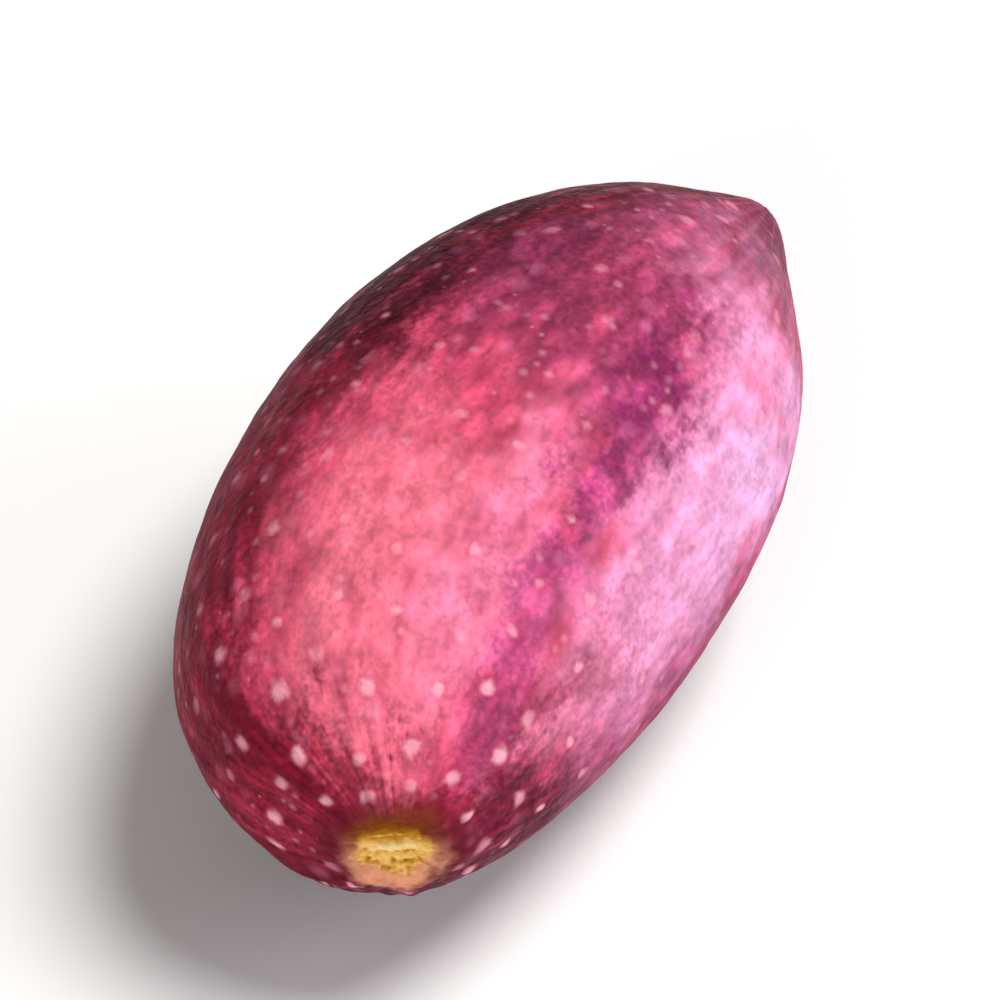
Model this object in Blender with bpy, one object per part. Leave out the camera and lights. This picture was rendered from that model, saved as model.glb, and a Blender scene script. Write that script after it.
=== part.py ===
"""One ripe pistachio fruit in its soft hull, lying on its side as it settles on a table.

The fruit is a drupe that grew as one piece, so it is one closed solid. Its long axis runs along X,
with the round scar of the stalk at the -X end and the blunt beak at the +X end. The two seams of the
hull run from end to end in the level plane, and the underside is pressed to a small flat spot, which
lies on Z = 0 under the middle of the fruit. All lengths are in metres.
"""

import math

import bmesh
import bpy
from mathutils import Matrix, Vector

# Driving dimensions of the fruit.
BODY_LENGTH = 0.0260
BODY_WIDTH = 0.0151
BODY_THICKNESS = 0.0149
BEAK_HEIGHT = 0.0017
REST_SPOT_DEPTH = 0.00022

# How full each end is: below 1 the end is blunt, above 1 it draws in to a point.
STEM_FULLNESS = 0.70
TIP_FULLNESS = 1.07

# Both ends sit off the middle line: towards the straighter side, and a little off the table.
STEM_BOW = 0.0012
TIP_BOW = 0.0007
STEM_LIFT = 0.0007
TIP_LIFT = 0.0004
STEM_LEAN = math.radians(16.5)
TIP_LEAN = math.radians(6.5)
BEAK_WIDTH = 0.29

# The stalk's scar: a round bowl with a small boss in it, inside a low swollen rim.
SCAR_RADIUS = 0.0015
SCAR_DEPTH = 0.00050
SCAR_BOSS_HEIGHT = 0.00016
SCAR_BOSS_RADIUS = 0.00045
RIM_RADIUS = 0.0020
RIM_WIDTH = 0.0005
RIM_HEIGHT = 0.00006

# Folds of skin that run out from the scar, as (number of folds, share of the height, turn).
FOLD_HEIGHT = 0.00007
FOLD_REACH = 0.0030
FOLD_WAVES = ((7, 0.6, 0.9), (11, 0.4, 2.1))

# The two seams, and the slow swell of the flesh, as (waves round, waves along, share, turn).
SEAM_HEIGHT = 0.00005
SEAM_HALF_ANGLE = math.radians(10.0)
SWELL_HEIGHT = 0.00011
SWELL_WAVES = ((3, 0.5, 0.45, 0.7), (5, 1.0, 0.30, 2.6), (2, 1.5, 0.25, 4.4))

# The mesh: quads round and along the fruit, drawn closer together towards the scar.
SEGMENTS_ROUND = 64
RINGS_ALONG = 52
RING_CROWDING = 0.25

# Colour of the ripe hull as linear values, and its soft waxy gloss.
HULL_COLOR = (0.55, 0.07, 0.16, 1.0)
HULL_ROUGHNESS = 0.42


def clear_scene():
    """Remove every object that the new file starts with."""
    for item in list(bpy.data.objects):
        bpy.data.objects.remove(item, do_unlink=True)


def new_collection(name):
    """Add an empty collection to the scene."""
    collection = bpy.data.collections.new(name)
    bpy.context.scene.collection.children.link(collection)
    return collection


def hull_material():
    """Return the rose-red skin of the ripe hull."""
    material = bpy.data.materials.new("ripe_hull")
    material.use_nodes = True
    shader = material.node_tree.nodes["Principled BSDF"]
    shader.inputs["Base Color"].default_value = HULL_COLOR
    shader.inputs["Roughness"].default_value = HULL_ROUGHNESS
    shader.inputs["Metallic"].default_value = 0.0
    material.diffuse_color = HULL_COLOR
    return material


def crowd_rings(pole_direction):
    """Slide a point of the unit sphere along its meridian, closer to the scar's pole at -X."""
    angle = math.acos(max(-1.0, min(1.0, -pole_direction.x)))
    if angle < 1e-6 or math.pi - angle < 1e-6:
        return pole_direction.copy()
    crowded = angle - RING_CROWDING * math.sin(angle) * (1.0 + math.cos(angle))
    across = math.sin(crowded) / math.sin(angle)
    return Vector((-math.cos(crowded), pole_direction.y * across, pole_direction.z * across))


def lean_ends(pole_direction):
    """Turn a direction about Z so that the scar and the beak sit towards the straighter side."""
    reach = pole_direction.x * pole_direction.x
    lean = STEM_LEAN if pole_direction.x < 0.0 else -TIP_LEAN
    return Matrix.Rotation(lean * reach, 3, "Z") @ pole_direction


def body_point(pole_direction):
    """Return the point of the plain egg-like body for a direction from the unit sphere."""
    turned = lean_ends(pole_direction)
    across = math.hypot(turned.y, turned.z)
    share = (turned.x + 1.0) / 2.0
    fullness = STEM_FULLNESS * (1.0 - share) + TIP_FULLNESS * share
    narrowing = max(across, 1e-6) ** (fullness - 1.0)
    reach = turned.x * turned.x
    bow = STEM_BOW if turned.x < 0.0 else TIP_BOW
    lift = STEM_LIFT if turned.x < 0.0 else TIP_LIFT
    return Vector((
        BODY_LENGTH / 2.0 * turned.x + beak_reach(pole_direction),
        BODY_WIDTH / 2.0 * turned.y * narrowing - bow * reach,
        BODY_THICKNESS / 2.0 * turned.z * narrowing + lift * reach,
    ))


def beak_reach(pole_direction):
    """Return how far the blunt beak stands out along X at a direction."""
    if pole_direction.x <= 0.0:
        return 0.0
    from_tip = math.hypot(pole_direction.y, pole_direction.z)
    return BEAK_HEIGHT * math.exp(-((from_tip / BEAK_WIDTH) ** 2))


def outward(pole_direction):
    """Return the unit vector that points straight out of the body at a direction."""
    turned = lean_ends(pole_direction)
    return Vector((
        turned.x / BODY_LENGTH,
        turned.y / BODY_WIDTH,
        turned.z / BODY_THICKNESS,
    )).normalized()


def scar_relief(distance):
    """Return the height of the scar's bowl, boss and rim at a distance from its middle."""
    inside = max(0.0, 1.0 - (distance / SCAR_RADIUS) ** 2)
    bowl = -SCAR_DEPTH * inside * inside
    boss = SCAR_BOSS_HEIGHT * math.exp(-((distance / SCAR_BOSS_RADIUS) ** 2))
    rim = RIM_HEIGHT * math.exp(-(((distance - RIM_RADIUS) / RIM_WIDTH) ** 2))
    return bowl + boss + rim


def fold_relief(distance, around):
    """Return the height of the folds that run out from the scar's rim."""
    if distance <= SCAR_RADIUS:
        return 0.0
    out = (distance - SCAR_RADIUS) / FOLD_REACH
    strength = 4.0 * out * math.exp(-2.0 * out)
    waves = sum(share * math.cos(count * around + turn) for count, share, turn in FOLD_WAVES)
    return FOLD_HEIGHT * strength * waves


def seam_relief(pole_direction, around):
    """Return the height of the low ridges along the hull's two seams."""
    from_seam = min(abs(around), math.pi - abs(around))
    ridge = math.exp(-((from_seam / SEAM_HALF_ANGLE) ** 2))
    return SEAM_HEIGHT * ridge * (1.0 - pole_direction.x ** 4)


def swell_relief(pole_direction, around):
    """Return the slow unevenness of the flesh, which dies away at both ends."""
    height = 0.0
    for count, along, share, turn in SWELL_WAVES:
        height += share * math.cos(count * around + along * math.pi * pole_direction.x + turn)
    return SWELL_HEIGHT * height * (1.0 - pole_direction.x ** 2)


def hull_point(pole_direction, scar_middle):
    """Return the finished surface point for a direction from the unit sphere."""
    body = body_point(pole_direction)
    around = math.atan2(pole_direction.z, pole_direction.y)
    from_scar = (body - scar_middle).length
    height = scar_relief(from_scar)
    height += fold_relief(from_scar, around)
    height += seam_relief(pole_direction, around)
    height += swell_relief(pole_direction, around)
    return body + outward(pole_direction) * height


def add_hull(collection):
    """Shape the whole fruit from a sphere whose poles are the scar and the beak."""
    scar_middle = body_point(Vector((-1.0, 0.0, 0.0)))
    shape = bmesh.new()
    bmesh.ops.create_uvsphere(
        shape, u_segments=SEGMENTS_ROUND, v_segments=RINGS_ALONG, radius=1.0,
        matrix=Matrix.Rotation(math.radians(90.0), 4, "Y"),
    )
    for vertex in shape.verts:
        direction = crowd_rings(vertex.co.normalized())
        vertex.co = hull_point(direction, scar_middle)
    mesh = bpy.data.meshes.new("hull")
    shape.to_mesh(mesh)
    shape.free()
    mesh.shade_smooth()
    hull = bpy.data.objects.new("hull", mesh)
    hull.data.materials.append(hull_material())
    collection.objects.link(hull)
    return hull


def press_rest_spot(hull, cutters):
    """Cut the small flat spot that the fruit lies on."""
    lowest = min(vertex.co.z for vertex in hull.data.vertices)
    bpy.ops.mesh.primitive_cube_add(size=2.0 * BODY_LENGTH)
    cutter = bpy.context.active_object
    cutter.name = "table_level"
    cutter.location.z = lowest + REST_SPOT_DEPTH - BODY_LENGTH
    cutter.hide_render = True
    cutter.display_type = "WIRE"
    for owner in list(cutter.users_collection):
        owner.objects.unlink(cutter)
    cutters.objects.link(cutter)
    cut = hull.modifiers.new("rest_spot", "BOOLEAN")
    cut.operation = "DIFFERENCE"
    cut.solver = "EXACT"
    cut.object = cutter
    return cutter


def settle(hull, cutter):
    """Lay the fruit on Z = 0 with the middle of its length and width over the origin."""
    xs = [vertex.co.x for vertex in hull.data.vertices]
    ys = [vertex.co.y for vertex in hull.data.vertices]
    lowest = min(vertex.co.z for vertex in hull.data.vertices)
    table = bpy.data.objects.new("pistachio_in_hull", None)
    bpy.context.scene.collection.objects.link(table)
    hull.parent = table
    cutter.parent = table
    table.location = (
        -(min(xs) + max(xs)) / 2.0,
        -(min(ys) + max(ys)) / 2.0,
        -(lowest + REST_SPOT_DEPTH),
    )


def main():
    """Build the fruit."""
    clear_scene()
    parts = new_collection("pistachio_in_hull")
    cutters = new_collection("cutters")
    hull = add_hull(parts)
    cutter = press_rest_spot(hull, cutters)
    settle(hull, cutter)


main()
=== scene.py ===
"""Looks of one ripe pistachio fruit in its soft hull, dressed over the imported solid.

The skin is a fine mesh that follows the solid's own form and adds the low relief that the solid
leaves out: dimples, lengthwise wrinkles, raised pale speckles and the torn tissue in the stalk's
scar. Its one material mixes the ripe pigments along and around the fruit. A small studio holds the
floor, the soft lights and the camera. All lengths are in metres unless a name says millimetres.
"""

import logging
import math
from dataclasses import dataclass, field
from enum import Enum
from typing import Optional, Sequence, Union

import bpy
import numpy as np
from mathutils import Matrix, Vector, kdtree, noise


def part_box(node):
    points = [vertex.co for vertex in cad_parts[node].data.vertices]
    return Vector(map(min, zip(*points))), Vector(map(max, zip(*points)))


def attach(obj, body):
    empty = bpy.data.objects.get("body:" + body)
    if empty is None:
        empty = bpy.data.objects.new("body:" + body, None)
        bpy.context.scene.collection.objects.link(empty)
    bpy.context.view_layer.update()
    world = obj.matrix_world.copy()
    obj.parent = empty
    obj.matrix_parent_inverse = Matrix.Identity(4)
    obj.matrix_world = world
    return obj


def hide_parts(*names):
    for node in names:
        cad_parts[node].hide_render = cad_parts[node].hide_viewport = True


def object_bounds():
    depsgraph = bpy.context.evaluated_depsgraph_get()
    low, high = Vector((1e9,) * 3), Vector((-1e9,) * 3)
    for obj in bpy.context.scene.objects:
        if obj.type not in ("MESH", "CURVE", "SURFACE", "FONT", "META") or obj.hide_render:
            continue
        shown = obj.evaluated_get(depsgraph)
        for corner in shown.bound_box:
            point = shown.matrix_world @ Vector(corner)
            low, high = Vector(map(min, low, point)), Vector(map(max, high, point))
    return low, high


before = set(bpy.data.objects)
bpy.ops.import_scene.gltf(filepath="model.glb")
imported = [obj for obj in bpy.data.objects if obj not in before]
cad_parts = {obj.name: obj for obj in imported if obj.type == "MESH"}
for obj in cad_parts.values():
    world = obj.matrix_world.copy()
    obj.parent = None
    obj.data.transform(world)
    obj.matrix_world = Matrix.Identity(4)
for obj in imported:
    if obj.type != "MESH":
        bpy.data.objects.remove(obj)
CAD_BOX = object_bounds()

log = logging.getLogger("pistachio")

Socket = bpy.types.NodeSocket
Feed = Union[Socket, float, Sequence[float]]
Color = tuple[float, float, float, float]
Rise = tuple[float, float, float, float]  # where it starts and ends, the level before and after it

MM = 0.001
TENTH_MM = 0.1 * MM
FINER_STRENGTH = 0.9
FINER_STEP = 2.1


class Layer(Enum):
    """Names of the values that the skin's mesh carries for its material."""

    FLOW = "flow"
    SCAR_MM = "scar_mm"
    FOLD = "fold"
    SPECKLE = "speckle"
    SHARE = "speckle_share"
    TEAR = "scar_tear"
    TIP_MM = "tip_mm"


def bell(away: np.ndarray, width: float) -> np.ndarray:
    """Give a smooth bump: 1 in its middle, and close to 0 beyond twice its width."""
    return np.exp(-((away / width) ** 2))


def noise_at(points: np.ndarray, size: float, octaves: int, shift: float,
             stretch: Sequence[float] = (1.0, 1.0, 1.0)) -> np.ndarray:
    """Read a fixed cloud of smooth noise at each point.

    Args:
        points: Points, one in each row.
        size: The width of the noise's largest features.
        octaves: How many finer layers it has.
        shift: Moves the reading to another part of the cloud.
        stretch: How much longer the features are along each axis.

    Returns:
        A value from about -1 to 1 for each point.
    """
    scaled = points / (size * np.asarray(stretch)) + shift
    return np.array([
        noise.fractal(Vector(row), FINER_STRENGTH, FINER_STEP, octaves) for row in scaled.tolist()
    ])


def pigment(red: int, green: int, blue: int) -> Color:
    """Turn a display colour into the linear one that a shader takes.

    Args:
        red: Red from 0 to 255.
        green: Green from 0 to 255.
        blue: Blue from 0 to 255.

    Returns:
        The linear colour with full alpha.
    """
    linear = []
    for part in (red, green, blue):
        share = part / 255.0
        linear.append(share / 12.92 if share <= 0.04045 else ((share + 0.055) / 1.055) ** 2.4)
    return (linear[0], linear[1], linear[2], 1.0)


@dataclass
class HullForm:
    """The egg-like body of the fruit: the same rule, with the same sizes, as the solid."""

    length: float = 0.0260
    width: float = 0.0151
    thickness: float = 0.0149
    beak_height: float = 0.0017
    beak_width: float = 0.29
    rest_spot_depth: float = 0.00022
    stem_fullness: float = 0.70
    tip_fullness: float = 1.07
    stem_bow: float = 0.0012
    tip_bow: float = 0.0007
    stem_lift: float = 0.0007
    tip_lift: float = 0.0004
    stem_lean: float = math.radians(16.5)
    tip_lean: float = math.radians(6.5)
    seam_height: float = 0.00005
    seam_half_angle: float = math.radians(10.0)
    swell_height: float = 0.00011
    swell_waves: tuple = ((3, 0.5, 0.45, 0.7), (5, 1.0, 0.30, 2.6), (2, 1.5, 0.25, 4.4))

    def lean(self, pole: np.ndarray) -> np.ndarray:
        """Turn unit directions about Z, so that both ends sit towards the straighter side.

        Args:
            pole: Unit directions, one in each row.

        Returns:
            The turned directions.
        """
        reach = pole[:, 0] ** 2
        turn = np.where(pole[:, 0] < 0.0, self.stem_lean, -self.tip_lean) * reach
        cos, sin = np.cos(turn), np.sin(turn)
        turned = pole.copy()
        turned[:, 0] = cos * pole[:, 0] - sin * pole[:, 1]
        turned[:, 1] = sin * pole[:, 0] + cos * pole[:, 1]
        return turned

    def body(self, pole: np.ndarray) -> np.ndarray:
        """Give the plain body's points.

        Args:
            pole: Unit directions, one in each row.

        Returns:
            A point for each direction.
        """
        turned = self.lean(pole)
        across = np.hypot(turned[:, 1], turned[:, 2])
        share = (turned[:, 0] + 1.0) / 2.0
        fullness = self.stem_fullness * (1.0 - share) + self.tip_fullness * share
        narrowing = np.maximum(across, 1e-6) ** (fullness - 1.0)
        reach = turned[:, 0] ** 2
        bow = np.where(turned[:, 0] < 0.0, self.stem_bow, self.tip_bow)
        lift = np.where(turned[:, 0] < 0.0, self.stem_lift, self.tip_lift)
        from_tip = np.hypot(pole[:, 1], pole[:, 2])
        beak = self.beak_height * bell(from_tip, self.beak_width) * (pole[:, 0] > 0.0)
        return np.stack([
            self.length / 2.0 * turned[:, 0] + beak,
            self.width / 2.0 * turned[:, 1] * narrowing - bow * reach,
            self.thickness / 2.0 * turned[:, 2] * narrowing + lift * reach,
        ], axis=1)

    def seams_and_swell(self, pole: np.ndarray) -> np.ndarray:
        """Give the height of the two seams and of the slow swell of the flesh.

        Args:
            pole: Unit directions, one in each row.

        Returns:
            A height in metres for each direction.
        """
        around = np.arctan2(pole[:, 2], pole[:, 1])
        from_seam = np.minimum(np.abs(around), math.pi - np.abs(around))
        height = self.seam_height * bell(from_seam, self.seam_half_angle)
        height *= 1.0 - pole[:, 0] ** 4
        swell = np.zeros(len(pole))
        for count, along, share, turn in self.swell_waves:
            swell += share * np.cos(count * around + along * math.pi * pole[:, 0] + turn)
        return height + self.swell_height * swell * (1.0 - pole[:, 0] ** 2)


@dataclass
class StalkScar:
    """The round scar that the stalk left, with the folds of skin that run out from it."""

    radius: float = 0.0015
    depth: float = 0.00050
    boss_height: float = 0.00016
    boss_radius: float = 0.00045
    rim_radius: float = 0.0020
    rim_width: float = 0.0005
    rim_height: float = 0.00006
    fold_height: float = 0.00007
    fold_reach: float = 0.0030
    fold_waves: tuple = ((7, 0.6, 0.9), (11, 0.4, 2.1))
    wrinkle_height: float = 0.00005
    wrinkle_waves: tuple = ((23, 0.5, 0.3), (31, 0.5, 1.9))
    torn_reach: float = 0.00142
    torn_edge: float = 0.00009
    torn_height: float = 0.00008
    torn_size: float = 0.00030
    fibre_height: float = 0.00004
    fibre_size: float = 0.00011
    fibre_stretch: tuple = (1.0, 5.0, 1.0)
    ridges: tuple = (
        (0.00010, 0.00020, 0.00018), (-0.00046, 0.00013, 0.00009), (0.00066, 0.00012, 0.00006),
    )
    ridge_span: float = 0.00080
    ridge_waver: float = 0.00012
    ridge_waver_size: float = 0.00090
    lip_height: float = 0.00005
    lip_width: float = 0.00007
    lip_reach: float = 0.00050
    lip_waves: tuple = ((5, 0.00010, 0.4), (13, 0.00007, 2.0))

    def relief(self, distance: np.ndarray, around: np.ndarray) -> np.ndarray:
        """Give the height of the bowl, its boss and rim, and the broad folds.

        Args:
            distance: How far each point is from the scar's middle.
            around: The angle of each point about the fruit's long axis.

        Returns:
            A height in metres for each point.
        """
        inside = np.maximum(0.0, 1.0 - (distance / self.radius) ** 2)
        height = -self.depth * inside ** 2
        height += self.boss_height * bell(distance, self.boss_radius)
        height += self.rim_height * bell(distance - self.rim_radius, self.rim_width)
        folds = self.waves(self.fold_waves, around) * self.strength(distance)
        return height + self.fold_height * folds

    def strength(self, distance: np.ndarray) -> np.ndarray:
        """Give how strong the folds are at each distance: none in the bowl, most near its rim."""
        out = np.maximum(0.0, distance - self.radius) / self.fold_reach
        return 4.0 * out * np.exp(-2.0 * out)

    def wrinkles(self, distance: np.ndarray, around: np.ndarray) -> np.ndarray:
        """Give the height of the fine wrinkles that run out from the scar."""
        fine = self.waves(self.wrinkle_waves, around) * self.strength(distance)
        return self.wrinkle_height * fine

    @staticmethod
    def waves(waves: Sequence[tuple[int, float, float]], around: np.ndarray) -> np.ndarray:
        """Add up waves that run round the scar, each with its count, share and turn."""
        return sum(share * np.cos(count * around + turn) for count, share, turn in waves)

    def tear(self, from_middle: np.ndarray, distance: np.ndarray,
             around: np.ndarray) -> np.ndarray:
        """Give the torn tissue in the bowl: ridges that lie level, fibres, and a ragged lip.

        Args:
            from_middle: Each point, measured from the scar's middle.
            distance: How far each point is from it.
            around: The angle of each about the fruit's long axis.

        Returns:
            A height in metres for each point.
        """
        inside = 1.0 / (1.0 + np.exp((distance - self.torn_reach) / self.torn_edge))
        height = self.torn_height * noise_at(from_middle, self.torn_size, 4, 11.0)
        fibres = noise_at(from_middle, self.fibre_size, 2, 23.0, self.fibre_stretch)
        height += self.fibre_height * fibres
        waver = noise_at(from_middle, self.ridge_waver_size, 2, 5.0)
        level = from_middle[:, 2] + self.ridge_waver * waver
        across = bell(from_middle[:, 1], self.ridge_span)
        for middle, width, rise in self.ridges:
            height += rise * across * bell(level - middle, width)
        ragged = self.radius + self.waves(self.lip_waves, around)
        lip = self.lip_height * np.tanh((distance - ragged) / self.lip_width)
        return inside * height + lip * bell(distance - self.radius, self.lip_reach)


@dataclass
class Speckles:
    """The small raised pale dots: close together by the stalk's scar, sparser elsewhere.

    Each spread is the least and the most that a dot's own value may be of the usual one.
    """

    seed: int = 7
    tries: int = 9000
    near_spacing: float = 0.00108
    far_spacing: float = 0.00205
    spacing_spread: tuple = (0.85, 1.35)
    near_reach: float = 0.0070
    bare_reach: float = 0.0021
    near_radius: float = 0.00031
    far_radius: float = 0.00024
    radius_spread: tuple = (0.7, 1.2)
    far_strength: float = 0.35
    near_strength: float = 0.95
    strength_spread: tuple = (0.5, 1.1)
    height: float = 0.000045
    reach: float = 2.6
    steepness: float = 0.9
    waver: float = 0.00012
    waver_size: float = 0.00042
    waver_shifts: tuple = (31.0, 37.0, 41.0)

    def scatter(self, points: np.ndarray,
                from_scar: np.ndarray) -> tuple[np.ndarray, np.ndarray, np.ndarray]:
        """Choose the places of the speckles, none closer than its own spacing to another.

        Args:
            points: The skin's points.
            from_scar: How far each is from the scar's middle.

        Returns:
            The chosen points' numbers, and each one's radius and strength.
        """
        rng = np.random.default_rng(self.seed)
        near = bell(from_scar, self.near_reach)
        spacing = self.far_spacing + (self.near_spacing - self.far_spacing) * near
        area = np.linalg.norm(points[:, 1:] - points[:, 1:].mean(0), axis=1) + 1e-5
        tried = rng.choice(len(points), self.tries, p=area / area.sum())
        taken: list[int] = []
        for number in tried.tolist():
            if from_scar[number] < self.bare_reach:
                continue
            if taken:
                gaps = np.linalg.norm(points[taken] - points[number], axis=1)
                if gaps.min() < spacing[number] * rng.uniform(*self.spacing_spread):
                    continue
            taken.append(number)
        chosen = np.array(taken)
        near = near[chosen]
        radius = self.far_radius + (self.near_radius - self.far_radius) * near
        radius *= rng.uniform(*self.radius_spread, len(chosen))
        strength = self.far_strength + (self.near_strength - self.far_strength) * near
        strength *= rng.uniform(*self.strength_spread, len(chosen))
        return chosen, radius, np.minimum(strength, 1.0)

    def fields(self, points: np.ndarray, from_scar: np.ndarray) -> tuple[np.ndarray, np.ndarray]:
        """Give how near each point is to a speckle's middle, and that speckle's strength.

        Args:
            points: The skin's points.
            from_scar: How far each is from the scar's middle.

        Returns:
            1 in the middle of a speckle and 0 far from it, and the strength from 0 to 1.
        """
        chosen, radius, strength = self.scatter(points, from_scar)
        shifts = [noise_at(points, self.waver_size, 1, shift) for shift in self.waver_shifts]
        wavered = points + self.waver * np.stack(shifts, axis=1)
        tree = kdtree.KDTree(len(points))
        for number, point in enumerate(wavered.tolist()):
            tree.insert(point, number)
        tree.balance()
        nearness, share = np.zeros(len(points)), np.zeros(len(points))
        for number, size, given in zip(chosen.tolist(), radius.tolist(), strength.tolist()):
            for _, beside, away in tree.find_range(wavered[number].tolist(), size * self.reach):
                near = math.exp(-((away / size) ** 2) * self.steepness)
                if near > nearness[beside]:
                    nearness[beside], share[beside] = near, given
        return nearness, share


@dataclass
class HullSkin:
    """The fruit's visible skin: a fine closed mesh that carries values for its material."""

    form: HullForm = field(default_factory=HullForm)
    scar: StalkScar = field(default_factory=StalkScar)
    speckles: Speckles = field(default_factory=Speckles)
    columns: int = 400
    rows: int = 242
    row_crowding: float = 0.30
    dent_height: float = 0.00007
    dent_size: float = 0.0042
    pore_height: float = 0.000012
    pore_size: float = 0.00050
    wrinkle_height: float = 0.00003
    wrinkle_size: float = 0.00090
    wrinkle_stretch: float = 7.0
    wrinkle_fade: float = 0.7
    nib_height: float = 0.00013
    nib_radius: float = 0.00026
    groove_depth: float = 0.00004
    groove_radii: float = 1.7
    groove_steepness: float = 3.0

    def directions(self) -> np.ndarray:
        """Give a unit direction for each vertex, with the rings closer together by the scar.

        Returns:
            The scar's pole, the rings from there on, and the beak's pole, one in each row.
        """
        angle = np.linspace(0.0, math.pi, self.rows + 1)[1:-1]
        angle = angle - self.row_crowding * np.sin(angle) * (1.0 + np.cos(angle))
        around = np.arange(self.columns) * (2.0 * math.pi / self.columns)
        angle, around = np.meshgrid(angle, around, indexing="ij")
        sides = [np.sin(angle) * np.cos(around), np.sin(angle) * np.sin(around)]
        ring = np.stack([-np.cos(angle), *sides], -1)
        return np.concatenate([[(-1.0, 0.0, 0.0)], ring.reshape(-1, 3), [(1.0, 0.0, 0.0)]])

    def faces(self) -> list[tuple[int, ...]]:
        """Join the vertices into quads between the rings and triangles that close both poles.

        Returns:
            Each face's vertex numbers.
        """
        rings = self.rows - 1
        last = 1 + rings * self.columns
        faces: list[tuple[int, ...]] = []
        for column in range(self.columns):
            beside = (column + 1) % self.columns
            faces.append((0, 1 + beside, 1 + column))
            for row in range(rings - 1):
                low = 1 + row * self.columns
                high = low + self.columns
                faces.append((low + column, low + beside, high + beside, high + column))
            end = 1 + (rings - 1) * self.columns
            faces.append((last, end + column, end + beside))
        return faces

    def normals(self, points: np.ndarray) -> np.ndarray:
        """Give the outward unit normal of the plain body at each vertex.

        Args:
            points: The body's points in the order that directions gives.

        Returns:
            A unit vector for each vertex.
        """
        rings = points[1:-1].reshape(self.rows - 1, self.columns, 3)
        poles = np.broadcast_to(points[[0, -1], None, :], (2, self.columns, 3))
        rings = np.concatenate([poles[:1], rings, poles[1:]])
        along = np.gradient(rings, axis=0)
        around = np.roll(rings, -1, axis=1) - np.roll(rings, 1, axis=1)
        normal = np.cross(around, along)[1:-1].reshape(-1, 3)
        ends = normal[:self.columns].sum(0), normal[-self.columns:].sum(0)
        normal = np.concatenate([[ends[0]], normal, [ends[1]]])
        normal /= np.linalg.norm(normal, axis=1, keepdims=True)
        outward = np.sign(((points - points.mean(0)) * normal).sum(1).mean())
        return normal * outward

    def build(self) -> bpy.types.Object:
        """Make the skin's mesh and the values it carries.

        Returns:
            The skin as an object in the scene.
        """
        pole = self.directions()
        body = self.form.body(pole)
        around = np.arctan2(pole[:, 2], pole[:, 1])
        from_scar = np.linalg.norm(body - body[0], axis=1)
        from_tip = np.linalg.norm(body - body[-1], axis=1)
        normal = self.normals(body)
        flow = np.stack([pole[:, 0], np.cos(around), np.sin(around)], axis=1)
        coarse = self.form.seams_and_swell(pole) + self.scar.relief(from_scar, around)
        fine = self.fine_relief(body, flow, pole) + self.scar.wrinkles(from_scar, around)
        tear = self.scar.tear(body - body[0], from_scar, around)
        nearness, share = self.speckles.fields(body, from_scar)
        domes = self.speckles.height * share * nearness ** 2
        plain = body + normal * coarse[:, None]
        raised = plain + normal * (fine + tear + domes + self.nib(from_tip))[:, None]
        mesh = bpy.data.meshes.new("hull_skin")
        mesh.from_pydata(self.settle(plain, raised).tolist(), [], self.faces())
        mesh.shade_smooth()
        carried = {
            Layer.FLOW: flow,
            Layer.SCAR_MM: from_scar / MM,
            Layer.FOLD: fine / TENTH_MM,
            Layer.SPECKLE: nearness,
            Layer.SHARE: share,
            Layer.TEAR: tear / TENTH_MM,
            Layer.TIP_MM: from_tip / MM,
        }
        for layer, values in carried.items():
            self.carry(mesh, layer, values)
        mesh.update()
        skin = bpy.data.objects.new("hull_skin", mesh)
        bpy.context.scene.collection.objects.link(skin)
        return skin

    def fine_relief(self, body: np.ndarray, flow: np.ndarray, pole: np.ndarray) -> np.ndarray:
        """Give the dimples, pores and lengthwise wrinkles of the whole skin.

        Args:
            body: The plain body's points.
            flow: Along the fruit, and the cosine and sine of the angle around it.
            pole: Unit directions, one in each row.

        Returns:
            A height in metres for each point.
        """
        radius = self.form.width / 2.0
        grain = flow * np.array([self.form.length / 2.0, radius, radius])
        height = self.dent_height * noise_at(body, self.dent_size, 3, 3.0)
        height += self.pore_height * noise_at(body, self.pore_size, 1, 7.0)
        wrinkles = noise_at(grain, self.wrinkle_size, 2, 19.0, (self.wrinkle_stretch, 1.0, 1.0))
        wrinkles *= 1.0 - self.wrinkle_fade * pole[:, 0] ** 8
        return height + self.wrinkle_height * wrinkles

    def nib(self, from_tip: np.ndarray) -> np.ndarray:
        """Give the height of the dry point that the flower left, and of the groove round it.

        Args:
            from_tip: How far each point is from the beak's end.

        Returns:
            A height in metres for each point.
        """
        out = from_tip / self.nib_radius
        groove = np.exp(-((out - self.groove_radii) ** 2) * self.groove_steepness)
        return self.nib_height * bell(out, 1.0) - self.groove_depth * groove

    def settle(self, plain: np.ndarray, raised: np.ndarray) -> np.ndarray:
        """Lay the skin where the solid lies, flat where it meets the surface it rests on.

        Args:
            plain: The points of the solid's own form, about the body's own middle.
            raised: The finished points, about the same middle.

        Returns:
            The finished points in the row's frame.
        """
        low, high = (np.array(corner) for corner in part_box("hull"))
        move = (low + high) / 2.0 - (plain.min(0) + plain.max(0)) / 2.0
        move[2] = low[2] - plain[:, 2].min() - self.form.rest_spot_depth
        placed = raised + move
        placed[:, 2] = np.maximum(placed[:, 2], low[2])
        return placed

    @staticmethod
    def carry(mesh: bpy.types.Mesh, layer: Layer, values: np.ndarray) -> None:
        """Store a number or a vector for each vertex under a layer's name.

        Args:
            mesh: The skin's mesh.
            layer: The layer to store.
            values: One row for each vertex.
        """
        kind, key = ("FLOAT_VECTOR", "vector") if values.ndim == 2 else ("FLOAT", "value")
        made = mesh.attributes.new(layer.value, kind, "POINT")
        made.data.foreach_set(key, values.astype(np.float32).ravel())


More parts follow.
